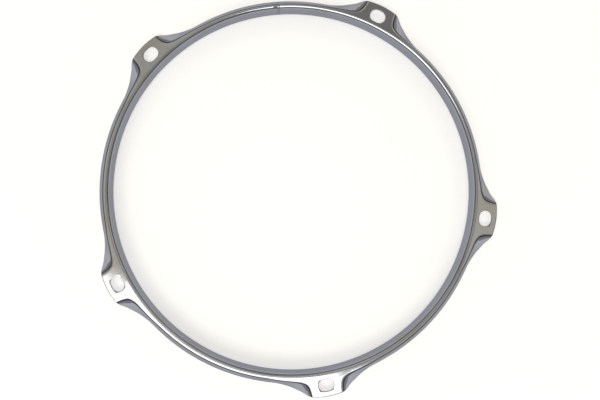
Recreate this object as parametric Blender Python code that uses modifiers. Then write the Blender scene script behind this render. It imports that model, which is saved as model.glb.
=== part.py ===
"""Timbale hoop: the pressed steel counter hoop of a 14 inch drum, with five lugs for the tension rods.

The real hoop is one steel strip, rolled to its section, bent round and butt-welded, with the lugs pressed
out of the same sheet and a slot punched through each. Here the strip is an open sheet, which is the top and
outer face of the steel, and a Solidify modifier gives it its thickness.

Each section of the sheet runs from the free edge of the rolled lip over the wall, out along the step and
down the skirt. Between the lugs all sections are alike. At a lug the step grows into a flat pad and the
skirt flares out on both sides of it, so the sheet is a loft between unlike sections.

Units are metres and +Z is up. The sheet is drawn with the top face of step and pads at height 0, and the
pieces are then placed so that the origin is on the hoop's axis at its centre of mass.
"""

import math

import bmesh
import bpy

MM = 0.001
INCH = 25.4 * MM

# Driving dimensions of the strip.
SHELL_DIAMETER = 14 * INCH
SHELL_CLEARANCE = 1.95 * MM
STEEL = 2.3 * MM
WALL_INNER_RADIUS = SHELL_DIAMETER / 2 + SHELL_CLEARANCE
WALL_OUTER_RADIUS = WALL_INNER_RADIUS + STEEL
WALL_TOP = 22 * MM
LIP_BEND = 0.5 * MM
LIP_TURN = math.radians(70)
LIP_LENGTH = 1.9 * MM
ROOT_BEND = 2.0 * MM
SKIRT_DEPTH = 11.0 * MM
STEP_LEVEL = -5.0 * MM

# Driving dimensions of the lugs and their slots.
LUG_COUNT = 5
LUG_STEP = 360 / LUG_COUNT
ROD_CIRCLE_RADIUS = 199.2 * MM
SLOT_LENGTH = 16.0 * MM
SLOT_WIDTH = 12.4 * MM
SLOT_SIDES = 24
SLOT_CUTTER_HEIGHT = 20 * MM
ON_THE_MIDDLE = 0.001 * MM

# The butt weld between the strip's ends.
SEAM_ANGLE = 102.5
WELD_WIDTH = 1.5 * MM
WELD_GAP = 0.3 * MM
SEAM_CLEARANCE = 1.5

# The finish of each piece.
CHROME_COLOUR = (0.42, 0.43, 0.46)
CHROME_ROUGHNESS = 0.08
WELD_COLOUR = (0.36, 0.37, 0.39)
WELD_ROUGHNESS = 0.2

# A lug is the same on both sides of its middle, so its curves are given against the angle from the middle,
# in degrees. The outer edge and the line where the sheet begins to bend down are radii in millimetres.
OUTER_EDGE = (
    (0, 210.7), (4.4, 209.6), (5.6, 208.4), (6.6, 206.5), (8.6, 202.9), (10.5, 199.9), (12.6, 197.8),
    (15, 196.6), (18, 196.4),
)
BEND_START = (
    (3.8, 211), (4.2, 204.5), (4.6, 200), (5.2, 196.4), (6, 194), (7.5, 192.4), (10, 191.6), (14.6, 190.5),
    (18, 189.8),
)
BEND_RADIUS = ((4, 6.5), (6, 6.5), (8.5, 4), (12, 3))
PAD_HALF_ANGLE = 4.0
SKIRT_FULL_DEPTH_ANGLE = 7.6
LEVELLING_ROUNDS = 6

# How finely the sheet is cut up: steps out from a lug's middle, in degrees, and points along a section.
LUG_COLUMNS = (
    0, 2.2, 3.4, 4.1, 4.7, 5.2, 5.7, 6.2, 6.8, 7.5, 8.4, 9.4, 10.6, 12, 13.6, 15.6, 18, 22.5, 27, 31.5, 36,
)
PAD_LADDER_ANGLE = 6
ARC_LADDER_ANGLE = 8.5
PAD_LADDER_START = 190 * MM
LIP_STEPS = 2
ROOT_STEPS = 2
BEND_STEPS = 3
OUTER_POINTS = BEND_STEPS + 3
SHARP_ANGLE = math.radians(40)

PARTS = "timbale_hoop"
CUTTERS = "slot_cutters"


def clear_scene():
    """Empty the scene, so that only the hoop's own objects are in it."""
    for old in list(bpy.data.objects):
        bpy.data.objects.remove(old, do_unlink=True)


def new_collection(name):
    collection = bpy.data.collections.new(name)
    bpy.context.scene.collection.children.link(collection)
    return collection


def metal(name, colour, roughness):
    """A Principled material for bare metal."""
    material = bpy.data.materials.new(name)
    material.use_nodes = True
    shader = material.node_tree.nodes["Principled BSDF"]
    shader.inputs["Base Color"].default_value = (*colour, 1)
    shader.inputs["Metallic"].default_value = 1
    shader.inputs["Roughness"].default_value = roughness
    return material


def between(points, x):
    """The value at x of a smooth curve through the points, level beyond both ends and never overshooting."""
    if x <= points[0][0]:
        return points[0][1]
    if x >= points[-1][0]:
        return points[-1][1]
    slopes = [(b[1] - a[1]) / (b[0] - a[0]) for a, b in zip(points, points[1:])]
    tangents = [0.0]
    for before, after in zip(slopes, slopes[1:]):
        same_way = before * after > 0
        tangents.append(2 * before * after / (before + after) if same_way else 0.0)
    tangents.append(0.0)
    k = max(i for i in range(len(slopes)) if points[i][0] <= x)
    width = points[k + 1][0] - points[k][0]
    t = (x - points[k][0]) / width
    rise = points[k + 1][1] - points[k][1]
    bow = t * (1 - t) * ((1 - t) * (tangents[k] * width - rise) - t * (tangents[k + 1] * width - rise))
    return points[k][1] + t * rise + bow


def smoothstep(low, high, x):
    """0 below low, 1 above high, and an even S between them."""
    t = min(max((x - low) / (high - low), 0), 1)
    return t * t * (3 - 2 * t)


def from_lug(angle):
    """How far an angle is from the middle of the nearest lug, in degrees."""
    offset = angle % LUG_STEP
    return min(offset, LUG_STEP - offset)


def edge_radius(offset):
    return between(OUTER_EDGE, offset) * MM


def bend_start(offset):
    return between(BEND_START, offset) * MM


def slope_for(drop, offset):
    """The angle to which the sheet must bend down, for a straight skirt that ends this far down at its edge."""
    radius = between(BEND_RADIUS, offset) * MM
    run = edge_radius(offset) - bend_start(offset)
    rise = radius - drop
    return math.asin(radius / math.hypot(run, rise)) - math.atan2(rise, run)


def edge_drop(offset):
    """How far the outer edge lies below the step's top face.

    It is nothing at the pad. Along the skirt it is the depth at which the inner corner of the cut edge, which
    is lower than the outer one by the steel's thickness on that slope, comes out level all round the hoop.
    """
    skirt_offset = max(offset, SKIRT_FULL_DEPTH_ANGLE)
    drop = SKIRT_DEPTH - STEEL / 2
    for _ in range(LEVELLING_ROUNDS):
        drop = SKIRT_DEPTH - STEEL * math.cos(slope_for(drop, skirt_offset))
    return drop * smoothstep(PAD_HALF_ANGLE, SKIRT_FULL_DEPTH_ANGLE, offset)


def step_height(radius, offset):
    """The height of the sheet's top face outside the wall: flat, then a round bend, then the straight skirt."""
    out = radius - bend_start(offset)
    if out <= 0 or edge_drop(offset) == 0:
        return 0.0
    bend = between(BEND_RADIUS, offset) * MM
    slope = slope_for(edge_drop(offset), offset)
    if out < bend * math.sin(slope):
        return math.sqrt(bend**2 - out**2) - bend
    return -bend * (1 - math.cos(slope)) - (out - bend * math.sin(slope)) * math.tan(slope)


def outer_radii(offset):
    """Where a section has its points between the wall's root and the outer edge."""
    edge = edge_radius(offset)
    even = [
        PAD_LADDER_START + (edge - PAD_LADDER_START) * i / (OUTER_POINTS - 1) for i in range(OUTER_POINTS)
    ]
    pad = 1 - smoothstep(PAD_LADDER_ANGLE, ARC_LADDER_ANGLE, offset)
    if pad == 1:
        return even
    start = bend_start(offset)
    arc_run = between(BEND_RADIUS, offset) * MM * math.sin(slope_for(edge_drop(offset), offset))
    bent = [start + arc_run * i / BEND_STEPS for i in range(BEND_STEPS + 1)]
    bent += [(bent[-1] + edge) / 2, edge]
    return [pad * a + (1 - pad) * b for a, b in zip(even, bent)]


def section(offset):
    """The sheet's section as (radius, height) points, from the lip's free edge to the outer edge."""
    points = []
    for i in range(LIP_STEPS + 1):
        turn = LIP_TURN * (1 - i / LIP_STEPS)
        centre = (WALL_OUTER_RADIUS + LIP_BEND, WALL_TOP)
        points.append((centre[0] - LIP_BEND * math.cos(turn), centre[1] + LIP_BEND * math.sin(turn)))
    lip_end = (
        points[0][0] + LIP_LENGTH * math.sin(LIP_TURN),
        points[0][1] + LIP_LENGTH * math.cos(LIP_TURN),
    )
    points.insert(0, lip_end)
    for i in range(ROOT_STEPS + 1):
        turn = math.radians(90) * i / ROOT_STEPS
        centre = (WALL_OUTER_RADIUS + ROOT_BEND, ROOT_BEND)
        points.append((centre[0] - ROOT_BEND * math.cos(turn), centre[1] - ROOT_BEND * math.sin(turn)))
    points += [(radius, step_height(radius, offset)) for radius in outer_radii(offset)]
    return points


def sheet_object(name, angles, material, collection):
    """A strip of the hoop's sheet through the sections at these angles, with the steel's thickness below it."""
    shape = bmesh.new()
    columns = []
    for angle in angles:
        turn = math.radians(angle)
        columns.append([
            shape.verts.new((radius * math.cos(turn), radius * math.sin(turn), height))
            for radius, height in section(from_lug(angle))
        ])
    for left, right in zip(columns, columns[1:]):
        for i in range(len(left) - 1):
            shape.faces.new((left[i], left[i + 1], right[i + 1], right[i]))
    mesh = bpy.data.meshes.new(name)
    shape.to_mesh(mesh)
    shape.free()
    mesh.materials.append(material)
    mesh.shade_smooth()
    mesh.set_sharp_from_angle(angle=SHARP_ANGLE)
    part = bpy.data.objects.new(name, mesh)
    part.location.z = STEP_LEVEL
    collection.objects.link(part)
    solidify = part.modifiers.new("gauge of the steel", "SOLIDIFY")
    solidify.thickness = STEEL
    solidify.offset = -1
    solidify.use_even_offset = True
    return part


def band_angles():
    """The columns of the whole band, from one end of the strip round to the other."""
    half_gap = math.degrees((WELD_WIDTH / 2 + WELD_GAP) / WALL_OUTER_RADIUS)
    turns = set()
    for lug in range(LUG_COUNT):
        for step in LUG_COLUMNS:
            turns.add((lug * LUG_STEP + step - SEAM_ANGLE) % 360)
            turns.add((lug * LUG_STEP - step - SEAM_ANGLE) % 360)
    inside = sorted(turn for turn in turns if SEAM_CLEARANCE < turn < 360 - SEAM_CLEARANCE)
    return [SEAM_ANGLE + turn for turn in [half_gap, *inside, 360 - half_gap]]


def slot_cutter(number, collection):
    """A round prism parted in the middle, which makes the punched slot: round ends and straight flanks."""
    turn = math.radians(number * LUG_STEP)
    bpy.ops.mesh.primitive_cylinder_add(
        vertices=SLOT_SIDES,
        radius=SLOT_WIDTH / 2,
        depth=SLOT_CUTTER_HEIGHT,
        location=(ROD_CIRCLE_RADIUS * math.cos(turn), ROD_CIRCLE_RADIUS * math.sin(turn), STEP_LEVEL),
        rotation=(0, 0, turn),
    )
    cutter = bpy.context.object
    cutter.name = f"slot_cutter_{number + 1}"
    stretch = (SLOT_LENGTH - SLOT_WIDTH) / 2
    for vertex in cutter.data.vertices:
        if abs(vertex.co.y) > ON_THE_MIDDLE:
            vertex.co.y += math.copysign(stretch, vertex.co.y)
    cutter.hide_render = True
    cutter.display_type = "WIRE"
    for home in list(cutter.users_collection):
        home.objects.unlink(cutter)
    collection.objects.link(cutter)


def main():
    clear_scene()
    parts = new_collection(PARTS)
    cutters = new_collection(CUTTERS)
    chrome = metal("chrome_plate", CHROME_COLOUR, CHROME_ROUGHNESS)
    weld = metal("plated_weld", WELD_COLOUR, WELD_ROUGHNESS)
    band = sheet_object("hoop_band", band_angles(), chrome, parts)
    for number in range(LUG_COUNT):
        slot_cutter(number, cutters)
    punch = band.modifiers.new("punched slots", "BOOLEAN")
    punch.operation = "DIFFERENCE"
    punch.operand_type = "COLLECTION"
    punch.collection = cutters
    punch.solver = "EXACT"
    half_weld = math.degrees(WELD_WIDTH / 2 / WALL_OUTER_RADIUS)
    sheet_object("seam_weld", [SEAM_ANGLE - half_weld, SEAM_ANGLE + half_weld], weld, parts)


main()
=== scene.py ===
# %% [markdown]
# # A timbale hoop
# A timbale hoop is one strip of steel. Rollers give it its section: a tall wall, a lip turned out at the
# top where the sticks land, a narrow step that presses the drum's head down, and a short skirt. The strip
# is bent round and butt-welded, five lugs are pressed out of its edge, a slot is punched through each, and
# the whole hoop is polished and chromed. The script follows the same order: draw the section, spin it
# round, press the lugs, punch the slots, give the sheet its thickness, ease the cut edges, and plate it.

import math

import bmesh
import bpy
from mathutils import Matrix, Vector


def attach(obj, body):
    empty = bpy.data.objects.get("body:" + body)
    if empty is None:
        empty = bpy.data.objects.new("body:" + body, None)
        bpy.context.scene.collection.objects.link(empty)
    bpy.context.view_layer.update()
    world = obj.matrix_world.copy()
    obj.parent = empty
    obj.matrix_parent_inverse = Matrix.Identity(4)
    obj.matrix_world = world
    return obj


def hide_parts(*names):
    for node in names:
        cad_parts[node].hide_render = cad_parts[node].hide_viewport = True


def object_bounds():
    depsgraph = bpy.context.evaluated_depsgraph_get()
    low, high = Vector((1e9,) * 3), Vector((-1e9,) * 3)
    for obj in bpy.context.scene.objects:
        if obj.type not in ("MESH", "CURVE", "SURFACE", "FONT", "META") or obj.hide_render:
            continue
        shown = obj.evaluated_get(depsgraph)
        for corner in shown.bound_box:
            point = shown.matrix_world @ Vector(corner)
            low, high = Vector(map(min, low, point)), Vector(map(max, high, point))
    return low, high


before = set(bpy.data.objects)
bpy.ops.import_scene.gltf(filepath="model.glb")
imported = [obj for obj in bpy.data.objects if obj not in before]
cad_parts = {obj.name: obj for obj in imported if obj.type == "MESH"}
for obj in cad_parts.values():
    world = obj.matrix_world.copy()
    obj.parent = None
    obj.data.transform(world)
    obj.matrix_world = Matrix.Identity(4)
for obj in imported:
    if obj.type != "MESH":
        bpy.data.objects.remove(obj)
for spare in ("Cube", "Light", "Camera"):
    if spare in bpy.data.objects:
        bpy.data.objects.remove(bpy.data.objects[spare], do_unlink=True)
cad_box = [list(corner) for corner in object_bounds()]
print("CAD nodes:", sorted(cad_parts))

# %% [markdown]
# ## The sizes
# These are the same sizes as in the part's own source, in metres. Heights are counted from the top face of
# the step, which lies 5 mm below the origin, because the origin is the hoop's centre of mass. The three
# tables follow the sheet away from a lug. Each entry is an angle from the lug's middle in degrees, and
# then millimetres: the radius of the cut edge, the radius where the bend starts, and the bend's own radius.

# %% Sizes
MM = 0.001
STEEL = 2.3 * MM
WALL_INNER = 179.75 * MM
WALL_OUTER = WALL_INNER + STEEL
WALL_TOP = 22 * MM
LIP_BEND = 0.5 * MM
LIP_TURN = math.radians(70)
LIP_LENGTH = 1.9 * MM
ROOT_BEND = 2.0 * MM
SKIRT_DEPTH = 11.0 * MM
STEP_LEVEL = -5.0 * MM

LUG_COUNT = 5
LUG_STEP = 360 / LUG_COUNT
ROD_CIRCLE = 199.2 * MM
SLOT_LENGTH = 16.0 * MM
SLOT_WIDTH = 12.4 * MM
SEAM_ANGLE = 102.5
WELD_HALF_WIDTH = 1.05 * MM
WELD_HALF_ANGLE = math.degrees(WELD_HALF_WIDTH / WALL_OUTER)

OUTER_EDGE = (
    (0, 210.7), (4.4, 209.6), (5.6, 208.4), (6.6, 206.5), (8.6, 202.9), (10.5, 199.9), (12.6, 197.8),
    (15, 196.6), (18, 196.4),
)
BEND_START = (
    (3.8, 211), (4.2, 204.5), (4.6, 200), (5.2, 196.4), (6, 194), (7.5, 192.4), (10, 191.6), (14.6, 190.5),
    (18, 189.8),
)
BEND_RADIUS = ((4, 6.5), (6, 6.5), (8.5, 4), (12, 3))
PAD_HALF_ANGLE = 4.0
SKIRT_FULL_DEPTH_ANGLE = 7.6
print("Wall inside:", round(WALL_INNER / MM, 2), "mm in radius")

# %% [markdown]
# ## The curves of a lug
# A lug is alike on both sides of its middle, so its shape is told against the angle from that middle. Two
# curves are enough: how far out the edge runs, and where the sheet begins to bend down. A cubic that never
# overshoots joins the points, so that the reflections in the chrome flow without a kink.


# %% A smooth curve through points
def between(points, x):
    if x <= points[0][0]:
        return points[0][1]
    if x >= points[-1][0]:
        return points[-1][1]
    slopes = [(b[1] - a[1]) / (b[0] - a[0]) for a, b in zip(points, points[1:])]
    tangents = [0.0]
    for before, after in zip(slopes, slopes[1:]):
        same_way = before * after > 0
        tangents.append(2 * before * after / (before + after) if same_way else 0.0)
    tangents.append(0.0)
    k = max(i for i in range(len(slopes)) if points[i][0] <= x)
    width = points[k + 1][0] - points[k][0]
    t = (x - points[k][0]) / width
    rise = points[k + 1][1] - points[k][1]
    bow = t * (1 - t) * ((1 - t) * (tangents[k] * width - rise) - t * (tangents[k + 1] * width - rise))
    return points[k][1] + t * rise + bow


def smoothstep(low, high, x):
    t = min(max((x - low) / (high - low), 0), 1)
    return t * t * (3 - 2 * t)


def from_lug(angle):
    """Degrees to the nearest lug's middle."""
    offset = angle % LUG_STEP
    return min(offset, LUG_STEP - offset)


def turned_from(middle, point):
    """Degrees round the axis from a middle to this point, between -180 and 180."""
    return (math.degrees(math.atan2(point.y, point.x)) - middle + 180) % 360 - 180


edge_at_lug = round(between(OUTER_EDGE, 0), 1)
print("Edge at a lug's middle:", edge_at_lug, "mm, between lugs:", between(OUTER_EDGE, LUG_STEP / 2))


# %% [markdown]
# ## How the sheet bends down
# The skirt is a round bend and then a straight run to the cut edge. The cut edge lies level all round the
# hoop, as it would stand on a table, so the slope follows from where the bend starts and where the edge is.
# The slope also tilts the steel's thickness at the edge, so slope and drop are worked out in turns until
# they agree.


# %% The skirt's slope, depth and height
SETTLING_ROUNDS = 6


def slope_for(drop, offset):
    radius = between(BEND_RADIUS, offset) * MM
    run = (between(OUTER_EDGE, offset) - between(BEND_START, offset)) * MM
    rise = radius - drop
    return math.asin(radius / math.hypot(run, rise)) - math.atan2(rise, run)


def edge_drop(offset):
    skirt_offset = max(offset, SKIRT_FULL_DEPTH_ANGLE)
    drop = SKIRT_DEPTH - STEEL / 2
    for _ in range(SETTLING_ROUNDS):
        drop = SKIRT_DEPTH - STEEL * math.cos(slope_for(drop, skirt_offset))
    return drop * smoothstep(PAD_HALF_ANGLE, SKIRT_FULL_DEPTH_ANGLE, offset)


def step_height(radius, offset):
    out = radius - between(BEND_START, offset) * MM
    if out <= 0 or edge_drop(offset) == 0:
        return 0.0
    bend = between(BEND_RADIUS, offset) * MM
    slope = slope_for(edge_drop(offset), offset)
    if out < bend * math.sin(slope):
        return math.sqrt(bend**2 - out**2) - bend
    return -bend * (1 - math.cos(slope)) - (out - bend * math.sin(slope)) * math.tan(slope)


print("Skirt between lugs drops", round(edge_drop(LUG_STEP / 2) / MM, 2), "mm")

# %% [markdown]
# ## The section
# One section of the sheet runs from the free edge of the lip, round its bend, down the wall, round the
# root and out along the step to the cut edge. Every section has the same number of points, so point 20 of
# one is joined to point 20 of the next, and a bend keeps its own rows all the way round. A row just inside
# the lip's free edge leaves room for its rounding. On a pad the outer rows are evenly spaced, and past it
# they gather in the skirt's bend.

# %% Points along a section
LIP_STEPS = 8
WALL_STEPS = 7
ROOT_STEPS = 8
STEP_ROWS = 4
SKIRT_BEND_STEPS = 10
OUTER_POINTS = 22
PAD_LADDER_START = 190 * MM
EVEN_ROWS_UNTIL = 6
BENT_ROWS_FROM = 8.5
BEVEL_ROOM = 0.63


def outer_radii(offset):
    edge = between(OUTER_EDGE, offset) * MM
    steps = OUTER_POINTS - 1
    even = [PAD_LADDER_START + (edge - PAD_LADDER_START) * i / steps for i in range(OUTER_POINTS)]
    pad = 1 - smoothstep(EVEN_ROWS_UNTIL, BENT_ROWS_FROM, offset)
    if pad == 1:
        return even
    start = between(BEND_START, offset) * MM
    arc_run = between(BEND_RADIUS, offset) * MM * math.sin(slope_for(edge_drop(offset), offset))
    bent = [start + arc_run * i / SKIRT_BEND_STEPS for i in range(SKIRT_BEND_STEPS + 1)]
    rest = steps - SKIRT_BEND_STEPS
    bent += [bent[-1] + (edge - start - arc_run) * (i + 1) / rest for i in range(rest)]
    return [pad * a + (1 - pad) * b for a, b in zip(even, bent)]


def section(offset):
    lip = []
    for i in range(LIP_STEPS + 1):
        turn = LIP_TURN * (1 - i / LIP_STEPS)
        lip.append((WALL_OUTER + LIP_BEND * (1 - math.cos(turn)), WALL_TOP + LIP_BEND * math.sin(turn)))
    across, up = LIP_LENGTH * math.sin(LIP_TURN), LIP_LENGTH * math.cos(LIP_TURN)
    free_edge = (lip[0][0] + across, lip[0][1] + up)
    eased = (free_edge[0] - across * BEVEL_ROOM, free_edge[1] - up * BEVEL_ROOM)
    points = [free_edge, eased, *lip]
    for i in range(1, WALL_STEPS):
        points.append((WALL_OUTER, WALL_TOP + (ROOT_BEND - WALL_TOP) * i / WALL_STEPS))
    for i in range(ROOT_STEPS + 1):
        turn = math.radians(90) * i / ROOT_STEPS
        points.append((WALL_OUTER + ROOT_BEND * (1 - math.cos(turn)), ROOT_BEND * (1 - math.sin(turn))))
    root_end = WALL_OUTER + ROOT_BEND
    outer = outer_radii(offset)
    for i in range(1, STEP_ROWS):
        points.append((root_end + (outer[0] - root_end) * i / STEP_ROWS, 0.0))
    points += [(radius, step_height(radius, offset)) for radius in outer]
    return points


base = section(LUG_STEP / 2)
print("Points in a section:", len(base))

# %% [markdown]
# ## Spinning the sheet
# A turned or rolled shape is drawn once and spun. The section starts as a plane merged down to a single
# point, and each extrude draws one more edge of it. Spin then carries it round the hoop's axis. It goes in
# stretches: wide steps between the lugs, where the sheet is plain, and narrow ones at the lugs, where it
# will be pressed.

# %% Draw a section and spin it
FINE_REACH = 10.5
MEDIUM_REACH = 16.5
FINE_STEP = 0.3
MEDIUM_STEP = 0.75
COARSE_STEP = 1.5


def deselect_all():
    if bpy.context.mode != "OBJECT":
        bpy.ops.object.mode_set(mode="OBJECT")
    bpy.ops.object.select_all(action="DESELECT")


def draw_section(name, angle):
    deselect_all()
    bpy.ops.mesh.primitive_plane_add(size=MM, location=(0, 0, 0))
    sheet = bpy.context.object
    sheet.name = name
    sheet.data.name = name
    turn = math.radians(angle)
    points = [Vector((r * math.cos(turn), r * math.sin(turn), h + STEP_LEVEL)) for r, h in base]
    bpy.ops.object.mode_set(mode="EDIT")
    bpy.ops.mesh.select_mode(type="VERT")
    bpy.ops.mesh.merge(type="CENTER")
    bpy.ops.transform.translate(value=points[0])
    for here, there in zip(points, points[1:]):
        bpy.ops.mesh.extrude_region_move(TRANSFORM_OT_translate={"value": there - here})
    bpy.ops.mesh.select_all(action="SELECT")
    return sheet


def spin_on(degrees, steps):
    bpy.ops.mesh.spin(steps=steps, angle=math.radians(degrees), center=(0, 0, 0), axis=(0, 0, -1))


def stretches(start, end):
    """Where each stretch of the hoop ends and how wide its steps are, from one angle round to another."""
    marks = []
    first = math.floor(start / LUG_STEP)
    for lug in range(first, first + LUG_COUNT + 2):
        middle = lug * LUG_STEP
        marks.append((middle - MEDIUM_REACH, COARSE_STEP))
        marks.append((middle - FINE_REACH, MEDIUM_STEP))
        marks.append((middle + FINE_REACH, FINE_STEP))
        marks.append((middle + MEDIUM_REACH, MEDIUM_STEP))
    inside = [mark for mark in marks if start < mark[0] < end]
    return inside + [(end, COARSE_STEP)]


band_start = SEAM_ANGLE + WELD_HALF_ANGLE
band_end = SEAM_ANGLE + 360 - WELD_HALF_ANGLE
band = draw_section("hoop_strip", band_start)
reached = band_start
for mark, step in stretches(band_start, band_end):
    spin_on(mark - reached, max(1, round((mark - reached) / step)))
    reached = mark
bpy.ops.object.mode_set(mode="OBJECT")
ends = [math.degrees(math.atan2(v.co.y, v.co.x)) for v in band.data.vertices if v.select]
print("Spun", len(band.data.polygons), "faces, last section at", round(ends[0], 2), "degrees")

# %% [markdown]
# ## Cleaning up after the spin
# Spin can leave double points where two stretches meet, and it can turn faces over. The doubles are merged
# and the normals are recalculated before the sheet gets its thickness. Solidify grows the steel on the far
# side of the faces, so the step has to look up, and one face of the step shows whether it does.

# %% Merge, and turn the faces up
MERGE_REACH = 0.01 * MM
ON_THE_STEP = 187 * MM


def clean_sheet(sheet):
    deselect_all()
    bpy.context.view_layer.objects.active = sheet
    sheet.select_set(True)
    bpy.ops.object.mode_set(mode="EDIT")
    bpy.ops.mesh.select_all(action="SELECT")
    bpy.ops.mesh.remove_doubles(threshold=MERGE_REACH)
    bpy.ops.mesh.normals_make_consistent(inside=False)
    shape = bmesh.from_edit_mesh(sheet.data)
    on_step = min(shape.faces, key=lambda f: abs(f.calc_center_median().xy.length - ON_THE_STEP))
    if on_step.normal.z < 0:
        bpy.ops.mesh.flip_normals()
    bpy.ops.object.mode_set(mode="OBJECT")
    print(sheet.name, "has", len(sheet.data.vertices), "points after merging")


clean_sheet(band)

# %% [markdown]
# ## Pressing the lugs
# A press pushes flat sheet into a die, and here the formula of the section is the die. Each point knows
# which row of the section it belongs to and how far it is from the nearest lug, so it moves to where that
# row runs at that angle. Rolled and pressed steel is never perfect, so the wall leans and the step and
# skirt rise and sink, by about a tenth of a millimetre at most. Only chrome shows such a thing, in how the
# dark lines wander.

# %% Press the sheet
# Waves a turn, height in millimetres, and phase in radians.
WALL_WAVES = ((3, 0.05, 0.6), (7, 0.035, 2.1), (17, 0.02, 4.0))
SKIRT_WAVES = ((5, 0.04, 1.9), (11, 0.03, 0.4), (23, 0.02, 5.0))
SKIRT_EDGE = 196 * MM


def waves(table, angle):
    a = math.radians(angle)
    return sum(height * math.sin(count * a + phase) for count, height, phase in table)


def waviness(angle, height):
    return waves(WALL_WAVES, angle) * MM * smoothstep(0, WALL_TOP, height)


def sag(angle, radius):
    return waves(SKIRT_WAVES, angle) * MM * smoothstep(WALL_OUTER, SKIRT_EDGE, radius)


def press(sheet):
    sections = {}
    for vertex in sheet.data.vertices:
        radius = vertex.co.xy.length
        height = vertex.co.z - STEP_LEVEL
        angle = math.degrees(math.atan2(vertex.co.y, vertex.co.x))
        row = min(range(len(base)), key=lambda i: (base[i][0] - radius) ** 2 + (base[i][1] - height) ** 2)
        offset = round(from_lug(angle), 4)
        if offset not in sections:
            sections[offset] = section(offset)
        new_radius, new_height = sections[offset][row]
        new_radius += waviness(angle, new_height)
        new_height += sag(angle, new_radius)
        turn = math.radians(angle)
        vertex.co = (
            new_radius * math.cos(turn),
            new_radius * math.sin(turn),
            new_height + STEP_LEVEL,
        )
    print(sheet.name, "pressed at", len(sections), "different offsets")


press(band)

# %% [markdown]
# ## Punching the slots
# A punch goes through the flat pad. Cutting with a Boolean would leave slivers along the round ends, so a
# block of faces is deleted instead and the rim of the gap is extruded inwards twice. Each new point slides
# along its own ray from the slot's middle: the first time halfway, and the second time onto the slot's
# outline, which is a circle parted in the middle.

# %% Punch one slot
BLOCK_REACH = 2.7
BLOCK_INNER = 192.3 * MM
BLOCK_OUTER = 206.3 * MM
RIM_REACH = BLOCK_REACH + 0.5
RIM_MARGIN = 2 * MM
RIM_SLIDES = (0.5, 1)


def near_slot(point, middle, reach, margin):
    within = BLOCK_INNER - margin < point.xy.length < BLOCK_OUTER + margin
    return within and abs(turned_from(middle, point)) < reach


def slot_outline(along, across):
    """How far out the slot's outline is on the ray that points this way, by its share along and across."""
    end_radius = SLOT_WIDTH / 2
    part = (SLOT_LENGTH - SLOT_WIDTH) / 2
    if abs(along) * end_radius <= part * abs(across):
        return end_radius / abs(across)
    return part * abs(along) + math.sqrt(end_radius**2 - (part * across) ** 2)


def slide_to_outline(shape, turn, share):
    """Moves the selected points this share of their way to the slot's outline."""
    out = Vector((math.cos(turn), math.sin(turn), 0))
    along = Vector((-math.sin(turn), math.cos(turn), 0))
    for vertex in shape.verts:
        if vertex.select:
            offset = Vector((vertex.co.x, vertex.co.y, 0)) - out * ROD_CIRCLE
            reach = slot_outline(offset.normalized().dot(along), offset.normalized().dot(out))
            goal = out * ROD_CIRCLE + offset.normalized() * reach
            vertex.co.x += (goal.x - vertex.co.x) * share
            vertex.co.y += (goal.y - vertex.co.y) * share


def punch_slot(sheet, number):
    middle = number * LUG_STEP
    bpy.ops.mesh.select_mode(type="FACE")
    bpy.ops.mesh.select_all(action="DESELECT")
    shape = bmesh.from_edit_mesh(sheet.data)
    for face in shape.faces:
        face.select_set(near_slot(face.calc_center_median(), middle, BLOCK_REACH, 0))
    bpy.ops.mesh.delete(type="FACE")
    bpy.ops.mesh.select_mode(type="EDGE")
    bpy.ops.mesh.select_all(action="DESELECT")
    shape = bmesh.from_edit_mesh(sheet.data)
    for edge in shape.edges:
        centre = (edge.verts[0].co + edge.verts[1].co) / 2
        if edge.is_boundary and near_slot(centre, middle, RIM_REACH, RIM_MARGIN):
            edge.select_set(True)
    for share in RIM_SLIDES:
        bpy.ops.mesh.extrude_region_move(TRANSFORM_OT_translate={"value": (0, 0, 0)})
        slide_to_outline(bmesh.from_edit_mesh(sheet.data), math.radians(middle), share)
    return sum(1 for edge in bmesh.from_edit_mesh(sheet.data).edges if edge.select)


bpy.context.view_layer.objects.active = band
band.select_set(True)
bpy.ops.object.mode_set(mode="EDIT")
counts = [punch_slot(band, number) for number in range(LUG_COUNT)]
bpy.ops.object.mode_set(mode="OBJECT")
print("Points round each slot:", counts)

# %% [markdown]
# ## The steel's thickness and its eased edges
# Solidify makes the 2.3 mm sheet. Polishing then takes the sharpness off every cut edge: the lip's free
# edge is worked nearly full-round, because sticks and fingers meet it, and the rest are only broken. A
# bevel on the selected sharp edges does both, with its own width for each. The edges of the lip run round
# the hoop, so those that point away from the axis there are left out.

# %% Thickness and eased edges
LIP_ROUND = 1.05 * MM
LIP_SEGMENTS = 5
EDGE_ROUND = 0.35 * MM
EDGE_SEGMENTS = 3
SHARP = math.radians(50)
SMOOTH_BELOW = math.radians(35)
POINTS_AWAY = 0.5
END_MARGIN = 0.002


def thicken(sheet):
    deselect_all()
    bpy.context.view_layer.objects.active = sheet
    sheet.select_set(True)
    gauge = sheet.modifiers.new("gauge of the steel", "SOLIDIFY")
    gauge.thickness = STEEL
    gauge.offset = -1
    gauge.use_even_offset = True
    gauge.use_quality_normals = True
    bpy.ops.object.modifier_apply(modifier=gauge.name)


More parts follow.
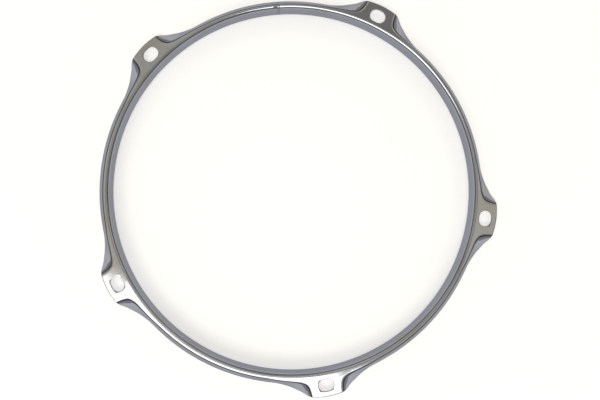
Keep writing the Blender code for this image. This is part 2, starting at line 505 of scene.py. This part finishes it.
def ease_edges(sheet, lip, width, segments):
    """Bevels the sharp edges of the lip, or else all the others, but not the ends that meet at the weld."""
    bpy.ops.object.mode_set(mode="EDIT")
    bpy.ops.mesh.select_mode(type="EDGE")
    bpy.ops.mesh.select_all(action="DESELECT")
    bpy.ops.mesh.edges_select_sharp(sharpness=SHARP)
    shape = bmesh.from_edit_mesh(sheet.data)
    for edge in shape.edges:
        if not edge.select:
            continue
        centre = (edge.verts[0].co + edge.verts[1].co) / 2
        away = abs((edge.verts[0].co - edge.verts[1].co).normalized().dot(centre.normalized()))
        at_end = abs(abs(turned_from(SEAM_ANGLE, centre)) - WELD_HALF_ANGLE) < END_MARGIN
        on_lip = centre.z > STEP_LEVEL + WALL_TOP and away < POINTS_AWAY
        if at_end or on_lip != lip:
            edge.select = False
    shape.select_flush_mode()
    bpy.ops.mesh.bevel(offset=width, segments=segments, profile=0.5, affect="EDGES", clamp_overlap=False)
    bpy.ops.object.mode_set(mode="OBJECT")
    print(sheet.name, "eased, now", len(sheet.data.polygons), "faces")


def make_steel(sheet):
    thicken(sheet)
    ease_edges(sheet, True, LIP_ROUND, LIP_SEGMENTS)
    ease_edges(sheet, False, EDGE_ROUND, EDGE_SEGMENTS)
    bpy.ops.object.shade_smooth_by_angle(angle=SMOOTH_BELOW)


make_steel(band)

# %% [markdown]
# ## The weld
# The strip's two ends are butted and welded, and the weld is ground until it lies almost level with the
# strip. It is the same section spun over two millimetres, so it starts the same way. Grinding leaves the
# middle a little low, and a small nick stays in the lip where the ends didn't quite fill. Both are pushed
# in after the edges are eased, because they would upset the bevel.

# %% Make the weld
WELD_STEPS = 6
NICK = 0.55 * MM
GROUND_LOW = 0.06 * MM

weld = draw_section("ground_weld", SEAM_ANGLE - WELD_HALF_ANGLE)
spin_on(2 * WELD_HALF_ANGLE, WELD_STEPS)
bpy.ops.object.mode_set(mode="OBJECT")
clean_sheet(weld)
press(weld)
make_steel(weld)
lip_start = WALL_OUTER + LIP_BEND
lip_end = lip_start + LIP_LENGTH
for vertex in weld.data.vertices:
    from_middle = abs(turned_from(SEAM_ANGLE, vertex.co)) / WELD_HALF_ANGLE
    low = math.cos(min(from_middle, 1) * math.pi / 2)
    outward = Vector((vertex.co.x, vertex.co.y, 0)).normalized()
    in_lip = smoothstep(lip_start, lip_end, vertex.co.xy.length) * (vertex.co.z > STEP_LEVEL + ROOT_BEND)
    vertex.co -= outward * low * (GROUND_LOW + NICK * in_lip)
print("Weld width:", round(2 * math.radians(WELD_HALF_ANGLE) * WALL_OUTER / MM, 2), "mm")

# %% [markdown]
# ## Helpers for the materials
# A material is a small machine of nodes. After the first, which makes an empty material, these helpers add
# a node and wire it up: a sum or product, a noise, or a remapping of one range to another. The last helper
# tells each place as distance from the axis, height and a slow drift. A noise that reads those three makes
# lines that circle the hoop, and the drift keeps them from running on unchanged. All of it starts from
# Object coordinates.

# %% Helpers for the materials
DRIFT_ALONG_X = 0.013
DRIFT_ALONG_Y = 0.009


def new_material(name):
    material = bpy.data.materials.new(name)
    material.use_nodes = True
    return material, material.node_tree.nodes, material.node_tree.links


def maths(nodes, links, operation, first, second=None):
    node = nodes.new("ShaderNodeMath")
    node.operation = operation
    for socket, value in zip(node.inputs, (first, second)):
        if isinstance(value, (int, float)):
            socket.default_value = value
        elif value is not None:
            links.new(value, socket)
    return node.outputs[0]


def noise(nodes, links, vector, scale, detail, roughness=0.5):
    node = nodes.new("ShaderNodeTexNoise")
    node.inputs["Scale"].default_value = scale
    node.inputs["Detail"].default_value = detail
    node.inputs["Roughness"].default_value = roughness
    links.new(vector, node.inputs["Vector"])
    return node.outputs["Fac"]


def remap(nodes, links, value, low, high, to_low, to_high):
    node = nodes.new("ShaderNodeMapRange")
    node.interpolation_type = "SMOOTHSTEP"
    links.new(value, node.inputs["Value"])
    for name, number in (("From Min", low), ("From Max", high), ("To Min", to_low), ("To Max", to_high)):
        node.inputs[name].default_value = number
    return node.outputs["Result"]


def round_coordinates(nodes, links):
    """Object coordinates, and the same place told as distance from the axis, height, and a slow drift."""
    place = nodes.new("ShaderNodeTexCoord").outputs["Object"]
    split = nodes.new("ShaderNodeSeparateXYZ")
    links.new(place, split.inputs[0])
    x, y, z = split.outputs
    x_squared = maths(nodes, links, "POWER", x, 2)
    y_squared = maths(nodes, links, "POWER", y, 2)
    radius = maths(nodes, links, "SQRT", maths(nodes, links, "ADD", x_squared, y_squared))
    x_drift = maths(nodes, links, "MULTIPLY", x, DRIFT_ALONG_X)
    y_drift = maths(nodes, links, "MULTIPLY", y, DRIFT_ALONG_Y)
    drift = maths(nodes, links, "ADD", x_drift, y_drift)
    join = nodes.new("ShaderNodeCombineXYZ")
    links.new(radius, join.inputs[0])
    links.new(z, join.inputs[1])
    links.new(drift, join.inputs[2])
    return place, join.outputs[0]


print("Material helpers ready")

# %% [markdown]
# ## Chrome plate
# Chrome is a mirror, so most of what it shows is the room. What belongs to the plate itself is its cool
# grey, fine lines that run round the hoop from rolling and buffing, a few hairline scratches, specks, and a
# faint haze where hands and sticks have been. Haze and specks darken the colour, lines and haze decide how
# sharp the mirror is, and the broader lines, the haze and the scratches raise or dent the surface a little.
# The scratches are the edges between stretched cells, kept only where a noise lets them through.

# %% Hairline scratches
SCRATCH_SCALE = 60
SCRATCH_WIDTH = 0.006
SCRATCH_TURN = (0.3, 0.2, 0.7)
SCRATCH_STRETCH = (1, 0.22, 1)
SCRATCHED_PATCHES = (0.55, 0.7)
PATCH_SCALE = 150


def hairlines(nodes, links, place):
    patches = noise(nodes, links, place, PATCH_SCALE, detail=3, roughness=0.55)
    stretch = nodes.new("ShaderNodeMapping")
    stretch.inputs["Rotation"].default_value = SCRATCH_TURN
    stretch.inputs["Scale"].default_value = SCRATCH_STRETCH
    links.new(place, stretch.inputs[0])
    cells = nodes.new("ShaderNodeTexVoronoi")
    cells.feature = "DISTANCE_TO_EDGE"
    cells.inputs["Scale"].default_value = SCRATCH_SCALE
    links.new(stretch.outputs[0], cells.inputs["Vector"])
    lines = remap(nodes, links, cells.outputs["Distance"], 0.0, SCRATCH_WIDTH, 1, 0)
    return maths(nodes, links, "MULTIPLY", lines, remap(nodes, links, patches, *SCRATCHED_PATCHES, 0, 1))


print("The finest scratches reach", round(SCRATCH_WIDTH / SCRATCH_SCALE / MM, 2), "mm to each side")

# %% The plate
FINE_LINES = 2600
BROAD_LINES = 420
HAZE_PATCHES = 26
SPECKS = 900
HAZY = (0.45, 0.75)
SPECKLED = (0.72, 0.8)
HAZE_DIRT = 0.8
SPECK_DIRT = 0.5
SHARP_TO_DULL = (0.3, 0.75)
SCRATCH_DULLNESS = 0.12
SCRATCH_DEPTH = 0.15
BUMP_STRENGTH = 0.25
BUMP_HEIGHT = 0.05 * MM
GRAZING_TINT = (0.55, 0.56, 0.6, 1)


def plate(name, clean, dull, smooth, rough, lines, lumps):
    material, nodes, links = new_material(name)
    shader = nodes["Principled BSDF"]
    place, rings = round_coordinates(nodes, links)
    fine = noise(nodes, links, rings, FINE_LINES, detail=2)
    broad = noise(nodes, links, rings, BROAD_LINES, detail=3)
    haze = noise(nodes, links, place, HAZE_PATCHES, detail=4, roughness=0.6)
    specks = noise(nodes, links, place, SPECKS, detail=1)
    hairline = hairlines(nodes, links, place)

    dirt = remap(nodes, links, haze, *HAZY, 0, HAZE_DIRT)
    dirt = maths(nodes, links, "ADD", dirt, remap(nodes, links, specks, *SPECKLED, 0, SPECK_DIRT))
    colour = nodes.new("ShaderNodeMix")
    colour.data_type = "RGBA"
    colour.inputs["A"].default_value = (*clean, 1)
    colour.inputs["B"].default_value = (*dull, 1)
    links.new(dirt, colour.inputs["Factor"])
    links.new(colour.outputs["Result"], shader.inputs["Base Color"])

    amount = maths(nodes, links, "MULTIPLY", fine, 0.5)
    amount = maths(nodes, links, "ADD", amount, maths(nodes, links, "MULTIPLY", haze, 0.5))
    amount = remap(nodes, links, amount, *SHARP_TO_DULL, smooth, rough)
    scratched = maths(nodes, links, "MULTIPLY", hairline, SCRATCH_DULLNESS)
    links.new(maths(nodes, links, "ADD", amount, scratched), shader.inputs["Roughness"])

    relief = maths(nodes, links, "MULTIPLY", broad, lines)
    relief = maths(nodes, links, "ADD", relief, maths(nodes, links, "MULTIPLY", haze, lumps))
    dent = maths(nodes, links, "MULTIPLY", hairline, SCRATCH_DEPTH)
    relief = maths(nodes, links, "SUBTRACT", relief, dent)
    bump = nodes.new("ShaderNodeBump")
    bump.inputs["Strength"].default_value = BUMP_STRENGTH
    bump.inputs["Distance"].default_value = BUMP_HEIGHT
    links.new(relief, bump.inputs["Height"])
    links.new(bump.outputs["Normal"], shader.inputs["Normal"])

    shader.inputs["Metallic"].default_value = 1
    shader.inputs["Specular Tint"].default_value = GRAZING_TINT
    return material


chrome = plate(
    "chrome_plate", clean=(0.345, 0.357, 0.41), dull=(0.31, 0.30, 0.29),
    smooth=0.05, rough=0.12, lines=0.5, lumps=4.0,
)
band.data.materials.clear()
band.data.materials.append(chrome)
print("Chrome nodes:", len(chrome.node_tree.nodes))

# %% [markdown]
# ## The plated weld
# A ground weld takes the plate less evenly: its surface is a little rough and grey, with small pits. It is
# the same plate with a duller colour and more relief.

# %% The weld's plate
weld_plate = plate(
    "plated_weld", clean=(0.30, 0.31, 0.33), dull=(0.22, 0.21, 0.20),
    smooth=0.16, rough=0.3, lines=1.2, lumps=8.0,
)
weld.data.materials.clear()
weld.data.materials.append(weld_plate)
print("Weld nodes:", len(weld_plate.node_tree.nodes))

# %% [markdown]
# ## Riding on the frame
# Both pieces are part of one rigid hoop, so both ride on its root body and stand for their own CAD node.

# %% Tie the pieces to the frame
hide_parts("hoop_band")
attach(band, "root")
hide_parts("seam_weld")
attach(weld, "root")
print("Tied:", band.name, weld.name)

# %% [markdown]
# ## The floor
# The hoop lies on its cut edge on a plain white floor. The floor is pale by its own colour, and the rest of
# its whiteness is a faint glow that the camera and reflections see but the light doesn't, so the hoop's
# shadow stays.

# %% The floor
FLOOR_SIZE = 60
FLOOR_GAP = 0.02 * MM
FLOOR_COLOUR = (0.93, 0.93, 0.94, 1)
FLOOR_ROUGHNESS = 0.9
FLOOR_SHINE = 0.1
FLOOR_GLOW = 0.5

deselect_all()
floor_level = cad_box[0][2] - FLOOR_GAP
bpy.ops.mesh.primitive_plane_add(size=FLOOR_SIZE, location=(0, 0, floor_level))
floor = bpy.context.object
floor.name = "floor"
pale, nodes, links = new_material("pale_floor")
surface = nodes["Principled BSDF"]
surface.inputs["Base Color"].default_value = FLOOR_COLOUR
surface.inputs["Roughness"].default_value = FLOOR_ROUGHNESS
surface.inputs["Specular IOR Level"].default_value = FLOOR_SHINE
surface.inputs["Emission Color"].default_value = (1, 1, 1, 1)
paths = nodes.new("ShaderNodeLightPath")
seen = maths(nodes, links, "MAXIMUM", paths.outputs["Is Camera Ray"], paths.outputs["Is Glossy Ray"])
seen = maths(nodes, links, "MAXIMUM", seen, paths.outputs["Is Transmission Ray"])
links.new(maths(nodes, links, "MULTIPLY", seen, FLOOR_GLOW), surface.inputs["Emission Strength"])
floor.data.materials.append(pale)
print("Floor at", round(floor_level / MM, 2), "mm")

# %% [markdown]
# ## The light
# Chrome needs something to mirror. The room is grey near the horizon, so that the hoop isn't black from the
# side. Above that comes a dark band, which draws the thin dark lines in the bends, and then a warm ceiling
# with soft clouds, so that the step and pads aren't one flat tone. One broad soft panel hangs over the near
# side, a little to the left, and whitens the pads and the lip that face it.

# %% Ceiling and surroundings
# The sine of the angle above the horizon, and the colour there.
ROOM = (
    (0.0, (0.50, 0.50, 0.53, 1)),
    (0.42, (0.42, 0.42, 0.45, 1)),
    (0.52, (0.03, 0.03, 0.035, 1)),
    (0.64, (0.03, 0.03, 0.03, 1)),
)
CEILING = (0.96, 0.90, 0.72, 1)
CEILING_SHADE = (0.40, 0.38, 0.32, 1)
CEILING_FULL = 0.75
CLOUD_SCALE = 2.2
CLOUD_RANGE = (0.4, 0.6)


def mix_colours(nodes, links, share):
    node = nodes.new("ShaderNodeMix")
    node.data_type = "RGBA"
    links.new(share, node.inputs["Factor"])
    return node


world = bpy.data.worlds.new("room")
world.use_nodes = True
bpy.context.scene.world = world
nodes, links = world.node_tree.nodes, world.node_tree.links
direction = nodes.new("ShaderNodeTexCoord").outputs["Generated"]
split = nodes.new("ShaderNodeSeparateXYZ")
links.new(direction, split.inputs[0])
ramp = nodes.new("ShaderNodeValToRGB")
stops = ramp.color_ramp.elements
while len(stops) > 1:
    stops.remove(stops[0])
stops[0].position, stops[0].color = ROOM[0]
for height, colour in ROOM[1:]:
    stops.new(height).color = colour
links.new(split.outputs["Z"], ramp.inputs[0])
clouds = noise(nodes, links, direction, CLOUD_SCALE, detail=2)
ceiling = mix_colours(nodes, links, remap(nodes, links, clouds, *CLOUD_RANGE, 0, 1))
ceiling.inputs["A"].default_value = CEILING_SHADE
ceiling.inputs["B"].default_value = CEILING
above = remap(nodes, links, split.outputs["Z"], ROOM[-1][0], CEILING_FULL, 0, 1)
room = mix_colours(nodes, links, above)
links.new(ramp.outputs[0], room.inputs["A"])
links.new(ceiling.outputs["Result"], room.inputs["B"])
links.new(room.outputs["Result"], nodes["Background"].inputs["Color"])
print("Ceiling from", round(math.degrees(math.asin(CEILING_FULL))), "degrees up")

# %% The soft panel
PANEL_AZIMUTH = math.radians(-104)
PANEL_DISTANCE = 0.88
PANEL_HEIGHT = 2.0
PANEL_DEPTH = 0.85
PANEL_WIDTH = 1.1
PANEL_RADIANCE = 3.0
PANEL_COLOUR = (1.0, 0.97, 0.92)

lamp = bpy.data.lights.new("soft_panel", "AREA")
lamp.shape = "RECTANGLE"
lamp.size = PANEL_WIDTH
lamp.size_y = PANEL_DEPTH
lamp.color = PANEL_COLOUR
lamp.energy = PANEL_RADIANCE * math.pi * PANEL_WIDTH * PANEL_DEPTH
panel = bpy.data.objects.new("soft_panel", lamp)
bpy.context.scene.collection.objects.link(panel)
panel.location = (
    PANEL_DISTANCE * math.cos(PANEL_AZIMUTH),
    PANEL_DISTANCE * math.sin(PANEL_AZIMUTH),
    PANEL_HEIGHT,
)
panel.rotation_euler = (0, 0, PANEL_AZIMUTH + math.pi / 2)
print("Panel power:", round(lamp.energy, 2), "W")

# %% [markdown]
# ## The camera
# The photograph looks straight down on the playing side, from a little off the axis and turned by about
# eight degrees. Its place, turn and lens come from the five slots and the hoop's circles as they lie in the
# picture.

# %% The camera
CAMERA_PLACE = (-14.2 * MM, -26.3 * MM, 800 * MM + STEP_LEVEL)
CAMERA_ROLL = math.radians(8.06)
CAMERA_TILT = math.radians(1.08)
CAMERA_SWING = math.radians(-1.83)
PICTURE_WIDTH = 600
FOCAL_PIXELS = 789.2
SENSOR_WIDTH = 36
NEAREST = 0.01
FARTHEST = 200

eye = bpy.data.cameras.new("camera")
eye.sensor_width = SENSOR_WIDTH
eye.lens = FOCAL_PIXELS / PICTURE_WIDTH * SENSOR_WIDTH
eye.clip_start = NEAREST
eye.clip_end = FARTHEST
camera = bpy.data.objects.new("camera", eye)
bpy.context.scene.collection.objects.link(camera)
turned = Matrix.Rotation(CAMERA_ROLL, 3, "Z")
turned = turned @ Matrix.Rotation(CAMERA_TILT, 3, "X")
turned = turned @ Matrix.Rotation(CAMERA_SWING, 3, "Y")
camera.rotation_euler = turned.to_euler()
camera.location = CAMERA_PLACE
bpy.context.scene.camera = camera
bpy.context.scene.view_settings.view_transform = "Standard"
print("Lens:", round(eye.lens, 2), "mm")

# %% [markdown]
# ## The triangle count
# Each piece's triangles are counted and printed.

# %% Count the triangles and finish
deselect_all()
bpy.context.view_layer.update()
for piece in (band, weld):
    triangles = sum(len(face.vertices) - 2 for face in piece.data.polygons)
    print(piece.name, triangles, "triangles")
